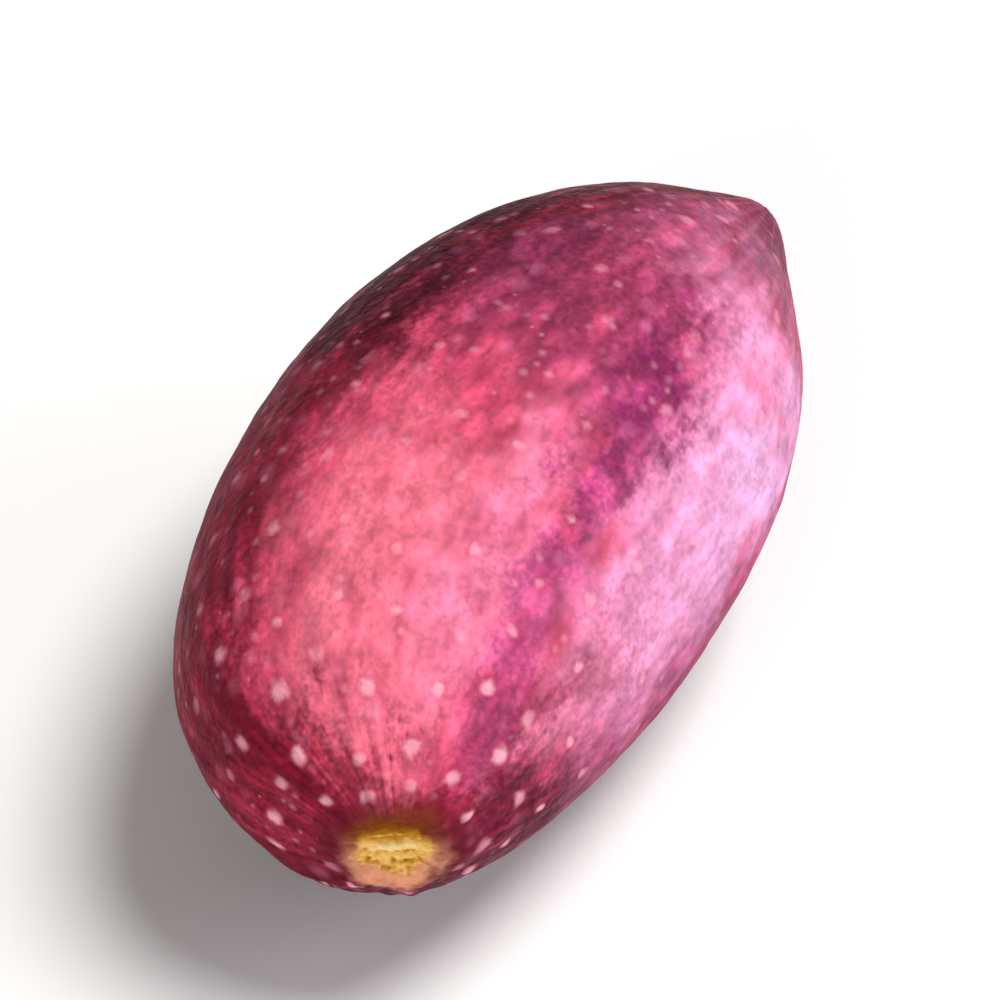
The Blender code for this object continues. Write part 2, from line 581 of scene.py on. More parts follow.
class Wiring:
    """Adds nodes to one tree and links them, so that a material reads from top to bottom.

    The Mix node has inputs and outputs of one name for each type, so its colours go by number.
    """

    per_row = 12
    spacing = (220.0, -260.0)
    mix_below, mix_above, mix_result = 6, 7, 2

    def __init__(self, tree: bpy.types.NodeTree) -> None:
        """Keep the tree that the nodes go in."""
        self.tree = tree

    def node(self, kind: str, feeds: Optional[dict[Union[str, int], Feed]] = None,
             **settings: object) -> bpy.types.Node:
        """Add a node, set its properties and feed its inputs.

        Args:
            kind: The node's type, without the common first part of its name.
            feeds: A socket or value for each input, by its name or number.
            **settings: Properties to set on it.

        Returns:
            The new node.
        """
        row, column = divmod(len(self.tree.nodes), self.per_row)
        made = self.tree.nodes.new("ShaderNode" + kind)
        made.location = (self.spacing[0] * column, self.spacing[1] * row)
        for key, value in settings.items():
            setattr(made, key, value)
        for name, source in (feeds or {}).items():
            self.feed(made.inputs[name], source)
        return made

    def feed(self, target: Socket, source: Feed) -> None:
        """Link a socket into another, or set a plain value on it.

        Args:
            target: The socket to feed.
            source: A socket, a number or a row of numbers.
        """
        if isinstance(source, bpy.types.NodeSocket):
            self.tree.links.new(source, target)
        else:
            target.default_value = source

    def math(self, operation: str, first: Feed, second: Feed = 0.0) -> Socket:
        """Work out one sum."""
        return self.node("Math", {0: first, 1: second}, operation=operation).outputs["Value"]

    def add(self, first: Feed, second: Feed) -> Socket:
        """Add two values."""
        return self.math("ADD", first, second)

    def minus(self, first: Feed, second: Feed) -> Socket:
        """Take the second value from the first."""
        return self.math("SUBTRACT", first, second)

    def times(self, first: Feed, second: Feed) -> Socket:
        """Multiply two values."""
        return self.math("MULTIPLY", first, second)

    def uneven(self, cloud: Socket, amount: float) -> Socket:
        """Turn noise from 0 to 1 into an unevenness about nought."""
        return self.times(self.minus(cloud, 0.5), amount)

    def span(self, value: Feed, low: Feed, high: Feed, to_low: float = 0.0,
             to_high: float = 1.0) -> Socket:
        """Change smoothly from one level to another as a value passes from low to high.

        Args:
            value: The value to read.
            low: Where the change starts.
            high: Where it ends.
            to_low: The level before it.
            to_high: The level after it.

        Returns:
            The level's socket.
        """
        names = ("Value", "From Min", "From Max", "To Min", "To Max")
        feeds = dict(zip(names, (value, low, high, to_low, to_high)))
        return self.node("MapRange", feeds, interpolation_type="SMOOTHSTEP").outputs["Result"]

    def beyond(self, value: Feed, limit: Feed, soft: Feed) -> Socket:
        """Give 1 where a value is beyond a limit and 0 where it is not, with a soft change."""
        return self.span(value, self.minus(limit, soft), self.add(limit, soft))

    def within(self, value: Feed, limit: Feed, soft: Feed) -> Socket:
        """Give 1 where a value is within a limit and 0 where it is not, with a soft change."""
        return self.span(value, self.minus(limit, soft), self.add(limit, soft), 1.0, 0.0)

    def mix(self, factor: Feed, below: Feed, above: Feed, blend: str = "MIX") -> Socket:
        """Lay one colour over another.

        Args:
            factor: How much of the upper colour shows.
            below: The lower colour.
            above: The upper colour.
            blend: How they mix.

        Returns:
            The mixed colour's socket.
        """
        feeds = {"Factor": factor, self.mix_below: below, self.mix_above: above}
        made = self.node("Mix", feeds, data_type="RGBA", blend_type=blend, clamp_factor=True)
        return made.outputs[self.mix_result]

    def parts(self, color: Feed) -> bpy.types.NodeOutputs:
        """Split a colour into its red, green and blue."""
        return self.node("SeparateColor", {0: color}).outputs

    def stretch(self, vector: Feed, factors: Sequence[float]) -> Socket:
        """Make a vector longer or shorter along each axis."""
        feeds = {0: vector, 1: factors}
        return self.node("VectorMath", feeds, operation="MULTIPLY").outputs["Vector"]

    def noise(self, vector: Feed, scale: Feed, detail: float, roughness: float) -> Socket:
        """Read smooth noise from 0 to 1, with so many features to each unit."""
        feeds = {"Vector": vector, "Scale": scale, "Detail": detail, "Roughness": roughness}
        return self.node("TexNoise", feeds).outputs["Fac"]

    def cells(self, vector: Feed, scale: Feed) -> bpy.types.NodeOutputs:
        """Divide space into uneven cells, with the distance to each one's point and its colour."""
        feeds = {"Vector": vector, "Scale": scale}
        return self.node("TexVoronoi", feeds, feature="F1", voronoi_dimensions="3D").outputs


class EffectGroup:
    """A shader node group, made once and placed where it is used.

    Each input has its value to start from, or None where it takes a vector.
    """

    title = "effect"
    inputs: dict[str, Optional[float]] = {}
    output = "Mask"

    @classmethod
    def tree(cls) -> bpy.types.NodeTree:
        """Find the group's tree, or make it on first use.

        Returns:
            The group's tree.
        """
        found = bpy.data.node_groups.get(cls.title)
        if found is not None:
            return found
        made = bpy.data.node_groups.new(cls.title, "ShaderNodeTree")
        for name, start in cls.inputs.items():
            kind = "NodeSocketVector" if start is None else "NodeSocketFloat"
            socket = made.interface.new_socket(name, in_out="INPUT", socket_type=kind)
            if start is not None:
                socket.default_value = start
        made.interface.new_socket(cls.output, in_out="OUTPUT", socket_type="NodeSocketFloat")
        source = made.nodes.new("NodeGroupInput")
        target = made.nodes.new("NodeGroupOutput")
        made.links.new(cls.wire(Wiring(made), source.outputs), target.inputs[cls.output])
        return made

    @classmethod
    def wire(cls, wiring: Wiring, given: bpy.types.NodeOutputs) -> Socket:
        """Build the effect inside the group.

        Args:
            wiring: The group's own wiring.
            given: The group's inputs.

        Returns:
            The socket that the output shows.
        """
        raise NotImplementedError

    @classmethod
    def place(cls, wiring: Wiring, label: str, **feeds: Feed) -> Socket:
        """Put the group in a tree and feed its inputs.

        Args:
            wiring: The wiring of the tree it goes in.
            label: What it is for, shown on its node.
            **feeds: A socket or value for each input, with _ for a space.

        Returns:
            The placed group's output.
        """
        named = {name.replace("_", " ").capitalize(): source for name, source in feeds.items()}
        return wiring.node("Group", named, node_tree=cls.tree(), label=label).outputs[cls.output]


class SkinZone(EffectGroup):
    """Masks a patch of skin by its place around and along the fruit, with an uneven edge."""

    title = "skin_zone"
    inputs = {
        "Along": 0.0, "Around": 0.0, "Middle": 0.0, "Drift": 0.0, "Half width": 0.5,
        "Soft": 0.2, "Start": -1.0, "End": 1.0, "Fade": 0.2, "Breakup": 0.0,
    }
    end_share = 0.55

    @classmethod
    def wire(cls, wiring: Wiring, given: bpy.types.NodeOutputs) -> Socket:
        """Build the mask from the angle to the patch's middle line and the place along the fruit.

        Args:
            wiring: The group's own wiring.
            given: The group's inputs.

        Returns:
            The mask: 1 inside the patch and 0 outside it.
        """
        middle = wiring.add(wiring.times(given["Along"], given["Drift"]), given["Middle"])
        away = wiring.math("PINGPONG", wiring.minus(given["Around"], middle), math.pi)
        away = wiring.add(away, given["Breakup"])
        beside = wiring.within(away, given["Half width"], given["Soft"])
        along = wiring.add(given["Along"], wiring.times(given["Breakup"], cls.end_share))
        start = wiring.beyond(along, given["Start"], given["Fade"])
        end = wiring.within(along, given["End"], given["Fade"])
        return wiring.times(wiring.times(start, end), beside)


class DappledSpots(EffectGroup):
    """Breaks a pigment into dabs with stippled edges, drawn out a little along the fruit."""

    title = "dappled_spots"
    inputs = {"Vector": None, "Scale": 1500.0, "Cover": 0.5, "Edge": 0.08, "Stipple": 0.5}
    stipple_share = 0.18
    level_by_cover: Rise = (0.0, 1.0, 0.78, 0.28)

    @classmethod
    def wire(cls, wiring: Wiring, given: bpy.types.NodeOutputs) -> Socket:
        """Build the dabs from one cloud of noise, cut where it is above a level.

        Args:
            wiring: The group's own wiring.
            given: The group's inputs.

        Returns:
            The mask: 1 on a dab and 0 between them.
        """
        cloud = wiring.noise(given["Vector"], given["Scale"], detail=2.0, roughness=0.5)
        cloud = wiring.add(cloud, wiring.uneven(given["Stipple"], cls.stipple_share))
        level = wiring.span(given["Cover"], *cls.level_by_cover)
        return wiring.beyond(cloud, level, given["Edge"])


class PinPricks(EffectGroup):
    """Scatters tiny round dots, each with its own size and strength."""

    title = "pin_pricks"
    inputs = {"Vector": None, "Scale": 2000.0, "Radius": 0.3, "Share": 0.5}
    output = "Dot"
    chance_soft = 0.15
    core = 0.1
    size_spread: Rise = (0.0, 1.0, 0.45, 1.2)
    strength_spread: Rise = (0.0, 1.0, 0.4, 1.0)

    @classmethod
    def wire(cls, wiring: Wiring, given: bpy.types.NodeOutputs) -> Socket:
        """Build dots from the distance to scattered points, each cell with its own chance.

        Args:
            wiring: The group's own wiring.
            given: The group's inputs.

        Returns:
            The dots: as strong as each is in its middle, and 0 between them.
        """
        cells = wiring.cells(given["Vector"], given["Scale"])
        chance = wiring.parts(cells["Color"])
        shown = wiring.span(chance["Red"], wiring.minus(1.0, given["Share"]),
                            wiring.minus(1.0 + cls.chance_soft, given["Share"]))
        size = wiring.times(given["Radius"], wiring.span(chance["Green"], *cls.size_spread))
        dot = wiring.span(cells["Distance"], wiring.times(size, cls.core), size, 1.0, 0.0)
        strength = wiring.times(shown, wiring.span(chance["Blue"], *cls.strength_spread))
        return wiring.times(dot, strength)


class SkinNet(EffectGroup):
    """The fine darker net between the little round cells of the skin."""

    title = "skin_net"
    inputs = {"Vector": None, "Scale": 1300.0, "Line": 0.62}
    output = "Level"
    core = 0.16

    @classmethod
    def wire(cls, wiring: Wiring, given: bpy.types.NodeOutputs) -> Socket:
        """Build a level that is 1 in the middle of a cell and 0 on the net."""
        cells = wiring.cells(given["Vector"], given["Scale"])
        return wiring.span(cells["Distance"], cls.core, given["Line"], 1.0, 0.0)


@dataclass(frozen=True)
class Cloud:
    """A cloud of noise: its features to a metre, its finer layers and how strong they are."""

    scale: float
    detail: float
    roughness: float

    def read(self, wiring: Wiring, vector: Feed) -> Socket:
        """Read the cloud at a point."""
        return wiring.noise(vector, self.scale, self.detail, self.roughness)


@dataclass(frozen=True)
class SkinPlace:
    """The sockets that say where the material is on the fruit, and the noises it shares."""

    wiring: Wiring
    spot: Socket
    drawn: Socket
    along: Socket
    around: Socket
    scar_mm: Socket
    fold: Socket
    speckle: Socket
    speckle_share: Socket
    scar_tear: Socket
    tip_mm: Socket
    streaks: Socket
    stipple: Socket
    breakup: Socket


@dataclass(frozen=True)
class SkinGrain:
    """How the skin's noises lie, and how far they are drawn out along the fruit."""

    half_size: tuple = (0.0130, 0.0075, 0.0075)
    drawn: tuple = (0.5, 1.0, 1.0)
    streaky: tuple = (0.16, 1.0, 1.0)
    clouds: Cloud = Cloud(420.0, 3.0, 0.55)
    streaks: Cloud = Cloud(1500.0, 3.0, 0.6)
    stipple: Cloud = Cloud(4300.0, 1.0, 0.6)
    breakup: tuple = (0.8, 0.26, 0.14)

    def read(self, wiring: Wiring) -> SkinPlace:
        """Read the values that the skin's mesh carries, and lay the shared noises over them.

        Args:
            wiring: The wiring of the skin's material.

        Returns:
            All the sockets.
        """
        carried = {
            layer.value: wiring.node("Attribute", attribute_name=layer.value).outputs
            for layer in Layer
        }
        flow = carried.pop(Layer.FLOW.value)["Vector"]
        split = wiring.node("SeparateXYZ", {0: flow}).outputs
        spot = wiring.node("TexCoord").outputs["Object"]
        grain = wiring.stretch(flow, self.half_size)
        clouds = self.clouds.read(wiring, spot)
        streaks = self.streaks.read(wiring, wiring.stretch(grain, self.streaky))
        stipple = self.stipple.read(wiring, spot)
        breakup: Feed = 0.0
        for cloud, amount in zip((clouds, streaks, stipple), self.breakup):
            breakup = wiring.add(breakup, wiring.uneven(cloud, amount))
        return SkinPlace(
            wiring=wiring,
            spot=spot,
            drawn=wiring.stretch(grain, self.drawn),
            along=split["X"],
            around=wiring.math("ARCTAN2", split["Z"], split["Y"]),
            streaks=streaks,
            stipple=stipple,
            breakup=breakup,
            **{name: outputs["Fac"] for name, outputs in carried.items()},
        )


@dataclass(frozen=True)
class Patch:
    """One pigment's patch of skin: where it lies around the fruit, in degrees, and along it."""

    name: str
    color: Color
    around: float
    half_width: float
    soft: float
    start: float = -1.5
    end: float = 1.5
    fade: float = 0.2
    drift: float = 0.0
    strength: float = 1.0

    def mask(self, place: SkinPlace) -> Socket:
        """Place the zone group with this patch's own values.

        Args:
            place: Where the material is on the fruit.

        Returns:
            The patch's mask.
        """
        mask = SkinZone.place(
            place.wiring, self.name, along=place.along, around=place.around,
            breakup=place.breakup, middle=math.radians(self.around),
            drift=math.radians(self.drift), half_width=math.radians(self.half_width),
            soft=math.radians(self.soft), start=self.start, end=self.end, fade=self.fade,
        )
        return place.wiring.times(mask, self.strength)


CRIMSON = pigment(178, 44, 74)
PLUM = pigment(112, 18, 66)
# The lilac right flank: partly a pale waxy bloom, partly painted sheen of a cool light from the
# right.
LILAC_BLOOM_AND_SHEEN = Patch("lilac", pigment(236, 154, 198), 157.0, 22.0, 14.0, -0.50, 0.70, 0.30, -9.0, 0.95)


@dataclass(frozen=True)
class Dabs:
    """One size of dabs: how many to a metre, how much they cover, how soft and how strong."""

    scale: float
    cover: float
    edge: float
    strength: float = 1.0

    def mask(self, place: SkinPlace, label: str, share: Feed = 1.0) -> Socket:
        """Place the group of dabs with this size's own values.

        Args:
            place: Where the material is on the fruit.
            label: Whose dabs they are.
            share: How much of their cover they have here.

        Returns:
            The dabs' mask.
        """
        mask = DappledSpots.place(
            place.wiring, label, vector=place.drawn, scale=self.scale, edge=self.edge,
            cover=place.wiring.times(share, self.cover), stipple=place.stipple,
        )
        return place.wiring.times(mask, self.strength)


@dataclass(frozen=True)
class Dapple:
    """The darker dabs: crimson everywhere but on the lilac side, plum in a cap and in a band."""

    crimson: Dabs = Dabs(1050.0, 0.42, 0.16)
    calm: Rise = (0.0, 0.8, 0.42, 0.16)
    wash: float = 0.42
    plum: tuple[tuple[Patch, Dabs, Dabs], ...] = (
        (
            Patch("wine_cap", pigment(144, 54, 90), 101.0, 30.0, 12.0, 0.02, 0.54, 0.26),
            Dabs(1050.0, 0.80, 0.20, 0.62),
            Dabs(2205.0, 0.66, 0.17, 0.50),
        ),
        (
            Patch("plum_band", pigment(146, 46, 98), 126.0, 7.0, 8.0, -0.46, 0.42, 0.24, -6.0),
            Dabs(1300.0, 0.80, 0.20, 0.62),
            Dabs(2730.0, 0.66, 0.17, 0.50),
        ),
    )

    def lay(self, color: Feed, place: SkinPlace) -> Socket:
        """Lay the weaker crimson dabs, then the plum ones over a thin wash of their colour.

        Args:
            color: The skin's colour so far.
            place: Where the material is on the fruit.

        Returns:
            The new colour.
        """
        wiring = place.wiring
        calm = wiring.span(LILAC_BLOOM_AND_SHEEN.mask(place), *self.calm)
        dabs = wiring.times(self.crimson.mask(place, "crimson_dabs"), calm)
        color = wiring.mix(dabs, color, CRIMSON)
        for patch, *sizes in self.plum:
            mask = patch.mask(place)
            color = wiring.mix(wiring.times(mask, self.wash), color, patch.color)
            for size in sizes:
                color = wiring.mix(size.mask(place, patch.name, mask), color, patch.color)
        return color


@dataclass(frozen=True)
class Mottle:
    """The skin's tone: soft patches, grains and a fine net, and painted shade in its creases."""

    clouds: Cloud = Cloud(1000.0, 2.0, 0.5)
    cloud_tone: Rise = (0.32, 0.68, 0.80, 1.17)
    grain_tone: Rise = (0.28, 0.72, 0.84, 1.14)
    net_scale: float = 1400.0
    net_grain: float = 0.8
    net_strength: float = 0.85
    net_by_green: Rise = (0.02, 0.17, 0.62, 0.24)
    strength: float = 0.9
    crease_shade: Rise = (-1.3, -0.4, 0.35, 0.0)

    def lay(self, color: Feed, place: SkinPlace) -> Socket:
        """Vary the tone, with a stronger net where the skin is dark, and paint shade into the
        creases.

        Args:
            color: The skin's colour so far.
            place: Where the material is on the fruit.

        Returns:
            The new colour.
        """
        wiring = place.wiring
        soft = wiring.span(self.clouds.read(wiring, place.spot), *self.cloud_tone)
        fine = wiring.span(place.stipple, *self.grain_tone)
        net = SkinNet.place(wiring, "net", vector=place.drawn, scale=self.net_scale)
        net = wiring.add(net, wiring.uneven(place.stipple, self.net_grain))
        depth = wiring.span(wiring.parts(color)["Green"], *self.net_by_green)
        net = wiring.add(1.0, wiring.times(depth, wiring.uneven(net, self.net_strength)))
        shade = wiring.times(wiring.times(soft, fine), net)
        tone = wiring.node("CombineColor", {0: shade, 1: shade, 2: shade}).outputs[0]
        color = wiring.mix(self.strength, color, tone, "MULTIPLY")
        # Painted shade: plum laid into the creases of the wrinkles.
        return wiring.mix(wiring.span(place.fold, *self.crease_shade), color, PLUM)


@dataclass(frozen=True)
class Freckles:
    """One size of scattered dots: how many to a metre, how large, how often and how strong."""

    name: str
    color: Color
    scale: float
    radius: float
    share: float
    strength: float
    blend: str = "MIX"

    def lay(self, color: Feed, place: SkinPlace) -> Socket:
        """Lay the dots over the skin.

        Args:
            color: The skin's colour so far.
            place: Where the material is on the fruit.

        Returns:
            The new colour.
        """
        dots = PinPricks.place(place.wiring, self.name, vector=place.spot, scale=self.scale,
                               radius=self.radius, share=self.share)
        factor = place.wiring.times(dots, self.strength)
        return place.wiring.mix(factor, color, self.color, self.blend)


@dataclass(frozen=True)
class SpeckleTones:
    """The raised pale speckles in their darker halos, and the finer dots between them."""

    pale: Color = pigment(255, 180, 200)
    between: tuple[Freckles, ...] = (
        Freckles("freckles", pigment(216, 122, 158), 1150.0, 0.50, 0.7, 0.30, "SCREEN"),
        Freckles("pricks", pigment(255, 180, 200), 1900.0, 0.36, 0.5, 0.28),
    )
    edge_grain: float = 0.30
    halo: Rise = (0.02, 0.35, 0.0, 0.38)
    dot: Rise = (0.24, 0.92, 0.0, 1.0)

    def lay(self, color: Feed, place: SkinPlace) -> tuple[Socket, Socket]:
        """Lay the finer dots, then the halos and the speckles in them.

        Args:
            color: The skin's colour so far.
            place: Where the material is on the fruit.

        Returns:
            The new colour, and the speckles' mask.
        """
        wiring = place.wiring
        for freckles in self.between:
            color = freckles.lay(color, place)
        edge = wiring.add(place.speckle, wiring.uneven(place.stipple, self.edge_grain))
        halo = wiring.times(wiring.span(edge, *self.halo), place.speckle_share)
        dots = wiring.times(wiring.span(edge, *self.dot), place.speckle_share)
        return wiring.mix(dots, wiring.mix(halo, color, CRIMSON), self.pale), dots


@dataclass(frozen=True)
class ScarTones:
    """The golden scar: its stained edge, its rim with painted shade on its upper side and a tan
    lower lip, its torn tissue with painted shade and painted highlights.
    """

    gold: Color = pigment(255, 206, 116)
    # The cream is a painted highlight, and the ochre and the bronze are painted shade.
    cream_highlight: Color = pigment(255, 234, 168)
    ochre_shade: Color = pigment(194, 132, 24)
    bronze_shade: Color = pigment(132, 66, 16)
    maroon: Color = pigment(104, 20, 34)
    tan: Color = pigment(250, 172, 134)
    wobble: Cloud = Cloud(1500.0, 2.0, 0.6)
    wobble_mm: float = 1.0
    stain: Rise = (1.8, 2.9, 0.75, 0.0)
    upper_turn: float = 0.1
    upper: Rise = (-0.4, 0.5, 0.0, 1.0)
    lower_reach: Rise = (-2.1, -0.4, 0.5, 0.0)
    upper_reach: Rise = (0.3, 1.8, 0.0, 0.3)
    rim: Rise = (1.00, 1.90, 0.95, 0.0)
    bowl: Rise = (0.95, 1.35, 1.0, 0.0)
    tissue_grain: float = 0.9
    ridge: Rise = (-0.7, 0.4, 0.0, 1.0)
    hollow_shade: Rise = (1.0, 0.2, 0.0, 1.0)
    hollow_shade_side: Rise = (0.05, 0.5, 0.0, 1.0)
    shaded: Rise = (0.55, 1.05, 0.0, 0.85)
    crest_highlight: Rise = (0.6, 1.6, 0.0, 1.0)

    def lay(self, color: Feed, place: SkinPlace) -> tuple[Socket, Socket]:
        """Lay the stain, the rim and the bowl's tissue, from the outside in.

        Args:
            color: The skin's colour so far.
            place: Where the material is on the fruit.

        Returns:
            The new colour, and the rim's mask.
        """
        wiring = place.wiring
        wobble = wiring.uneven(self.wobble.read(wiring, place.spot), self.wobble_mm)
        distance = wiring.add(place.scar_mm, wobble)
        rise = wiring.times(place.scar_mm, wiring.math("SINE", place.around))
        color = wiring.mix(wiring.span(distance, *self.stain), color, self.maroon)
        lip = wiring.minus(distance, wiring.span(rise, *self.lower_reach))
        lip = wiring.minus(lip, wiring.span(rise, *self.upper_reach))
        rim = wiring.span(lip, *self.rim)
        # The rim: tan on its lower lip, and painted shade in bronze on its upper side.
        turned = wiring.math("SINE", wiring.add(place.around, self.upper_turn))
        upper = wiring.span(turned, *self.upper)
        color = wiring.mix(rim, color, wiring.mix(upper, self.tan, self.bronze_shade))
        bowl = wiring.span(distance, *self.bowl)
        return wiring.mix(bowl, color, self.tissue(rise, place)), rim

    def tissue(self, rise: Socket, place: SkinPlace) -> Socket:
        """Colour the torn tissue by its height, with painted shade in ochre on its low parts and in
        its hollows, painted shade in bronze at its top, and a painted highlight in cream on its
        crests.

        Args:
            rise: How far up from the scar's middle, in millimetres.
            place: Where the material is on the fruit.

        Returns:
            The tissue's colour.
        """
        wiring = place.wiring
        raised = wiring.add(place.scar_tear, wiring.uneven(place.stipple, self.tissue_grain))
        # Painted shade: ochre on the low tissue, and in the hollows on the upper side.
        color = wiring.mix(wiring.span(raised, *self.ridge), self.ochre_shade, self.gold)
        side = wiring.span(rise, *self.hollow_shade_side)
        hollow_shade = wiring.times(wiring.span(place.scar_tear, *self.hollow_shade), side)
        color = wiring.mix(hollow_shade, color, self.ochre_shade)
        # Painted shade in bronze over the upper part, then a painted highlight in cream on the
        # crests.
        color = wiring.mix(wiring.span(rise, *self.shaded), color, self.bronze_shade)
        return wiring.mix(wiring.span(raised, *self.crest_highlight), color, self.cream_highlight)


@dataclass(frozen=True)
class BeakPoint:
    """The beak's darker end with its dry brown point."""

    bark: Color = pigment(92, 58, 40)
    grain_mm: float = 0.35
    shade: Rise = (0.5, 1.5, 0.6, 0.0)
    point: Rise = (0.20, 0.45, 0.9, 0.0)

    def lay(self, color: Feed, place: SkinPlace) -> Socket:
        """Darken the beak towards its point.

        Args:
            color: The skin's colour so far.
            place: Where the material is on the fruit.

        Returns:
            The new colour.
        """
        wiring = place.wiring
        uneven = wiring.add(place.tip_mm, wiring.uneven(place.stipple, self.grain_mm))
        color = wiring.mix(wiring.span(uneven, *self.shade), color, PLUM)
        return wiring.mix(wiring.span(uneven, *self.point), color, self.bark)


@dataclass(frozen=True)
class Gloss:
    """The soft waxy gloss and the finest relief."""

    patchy: Rise = (0.3, 0.7, 0.43, 0.59)
    speckle_shine: float = -0.08
    scar_dullness: float = 0.25
    specular: float = 0.03
    peel: Cloud = Cloud(2300.0, 1.0, 0.6)
    stipple_height: float = 0.55
    speckle_height: float = 0.5
    bump_strength: float = 0.9
    bump_height: float = 0.00009

    def lay(self, shader: bpy.types.Node, place: SkinPlace, dots: Socket, rim: Socket) -> None:
        """Set the skin's roughness and relief on its shader.

        Args:
            shader: The skin's shader.
            place: Where the material is on the fruit.
            dots: The speckles' mask.
            rim: The mask of the scar and its rim.
        """
        wiring = place.wiring
        rough = wiring.span(place.streaks, *self.patchy)
        rough = wiring.add(rough, wiring.times(dots, self.speckle_shine))
        rough = wiring.add(rough, wiring.times(rim, self.scar_dullness))
        wiring.feed(shader.inputs["Roughness"], rough)
        wiring.feed(shader.inputs["Specular IOR Level"], self.specular)
        height = self.peel.read(wiring, place.spot)
        height = wiring.add(height, wiring.times(place.stipple, self.stipple_height))
        height = wiring.add(height, wiring.times(dots, self.speckle_height))
        feeds = {
            "Strength": self.bump_strength, "Distance": self.bump_height, "Height": height,
        }
        wiring.feed(shader.inputs["Normal"], wiring.node("Bump", feeds).outputs["Normal"])


@dataclass(frozen=True)
class RipeSkin:
    """The finish of the ripe hull: its pigments from the base up, and what lies over them."""

    base: Color = pigment(212, 78, 110)
    grain: SkinGrain = SkinGrain()
    patches: tuple[Patch, ...] = (
        # Painted shade: a deep maroon that darkens the underside and the lower flanks.
        Patch("under", pigment(80, 12, 42), 258.0, 84.0, 20.0, strength=0.94),
        # The left flank: partly its own crimson, partly painted shade that darkens it.
        Patch("crimson_flank_and_shade", pigment(122, 16, 40), 12.0, 53.0, 13.0, drift=18.0, strength=0.92),
        Patch("coral", pigment(240, 118, 141), 101.0, 27.5, 14.0, -0.97, -0.20, 0.20, 12.0, 0.93),
        Patch("blush", pigment(242, 128, 164), 117.0, 12.0, 9.0, -0.80, 0.00, 0.20, 0.0, 0.88),
        # Painted shade: a near-black maroon along the upper left shoulder, from the middle to the
        # beak.
        Patch("shoulder_shade", pigment(62, 8, 24), 38.0, 31.0, 10.0, -0.14, 1.6, 0.22, 0.0, 0.95),
        Patch("wine_crown", pigment(78, 16, 34), 72.0, 24.0, 14.0, 0.22, 1.6, 0.18, 0.0, 0.9),
        Patch("dusky_rose", pigment(170, 84, 122), 112.0, 24.0, 14.0, 0.50, 1.6, 0.14, 0.0, 0.85),
        Patch("beak_blush", pigment(238, 146, 186), 129.0, 15.0, 10.0, 0.46, 0.7, 0.12, -4.0, 0.85),
        Patch("magenta", pigment(196, 80, 134), 127.0, 10.0, 9.0, -0.84, 0.48, 0.14, -12.0, 0.85),
        Patch("rose_under", pigment(190, 78, 128), 188.0, 22.0, 18.0, -0.60, 0.72, 0.24, 0.0, 0.8),
        LILAC_BLOOM_AND_SHEEN,
        Patch("rose_flank", pigment(208, 118, 150), 153.0, 14.0, 8.0, -0.9, -0.38, 0.12, 0.0, 0.78),
        Patch("plum_flank", pigment(158, 50, 98), 141.0, 8.0, 8.0, -0.97, -0.54, 0.12, 0.0, 0.72),
        # Partly pale waxy bloom, partly painted sheen: the pale lilac band along the right edge
        # stands in for a grazing reflection.
        Patch("bloom_and_sheen_edge", pigment(244, 186, 234), 166.0, 12.0, 15.0, 0.04, 0.56, 0.26, 0.0, 0.85),
        Patch("mauve_tip", pigment(134, 82, 108), 142.0, 30.0, 18.0, 0.74, 1.6, 0.25, 0.0, 0.86),
        Patch("beak", pigment(124, 46, 74), 96.0, 180.0, 1.0, 0.94, 1.6, 0.05, 0.0, 0.7),
        Patch("stem_shade", pigment(98, 14, 44), 190.0, 34.0, 16.0, -1.5, -0.74, 0.14, 0.0, 0.8),
        Patch("stem_end", pigment(136, 22, 46), 86.0, 70.0, 20.0, -1.5, -0.93, 0.04, 0.0, 0.72),
    )
    dapple: Dapple = Dapple()
    mottle: Mottle = Mottle()
    speckles: SpeckleTones = SpeckleTones()
    scar: ScarTones = ScarTones()
    beak: BeakPoint = BeakPoint()
    gloss: Gloss = Gloss()

    def material(self) -> bpy.types.Material:
        """Make the skin's material.

        Returns:
            The material with all its nodes.
        """
        made = bpy.data.materials.new("ripe_skin")
        made.use_nodes = True
        made.node_tree.nodes.clear()
        wiring = Wiring(made.node_tree)
        shader = wiring.node("BsdfPrincipled")
        wiring.node("OutputMaterial", {"Surface": shader.outputs["BSDF"]})
        place = self.grain.read(wiring)
        color: Feed = self.base
        for patch in self.patches:
            color = wiring.mix(patch.mask(place), color, patch.color)
        color = self.dapple.lay(color, place)
        color = self.mottle.lay(color, place)
        color, dots = self.speckles.lay(color, place)
        color, rim = self.scar.lay(color, place)
        color = self.beak.lay(color, place)
        wiring.feed(shader.inputs["Base Color"], color)
        self.gloss.lay(shader, place, dots, rim)
        return made


@dataclass
class Fruit:
    """The whole fruit: its skin, dressed and set on the frame."""

    skin: HullSkin = field(default_factory=HullSkin)
    finish: RipeSkin = field(default_factory=RipeSkin)

    def build(self) -> bpy.types.Object:
        """Build the skin, dress it, and let it stand for the solid.

        Returns:
            The fruit's one piece.
        """
        piece = self.skin.build()
        piece.data.materials.append(self.finish.material())
        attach(piece, "root")
        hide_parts("hull")
        return piece


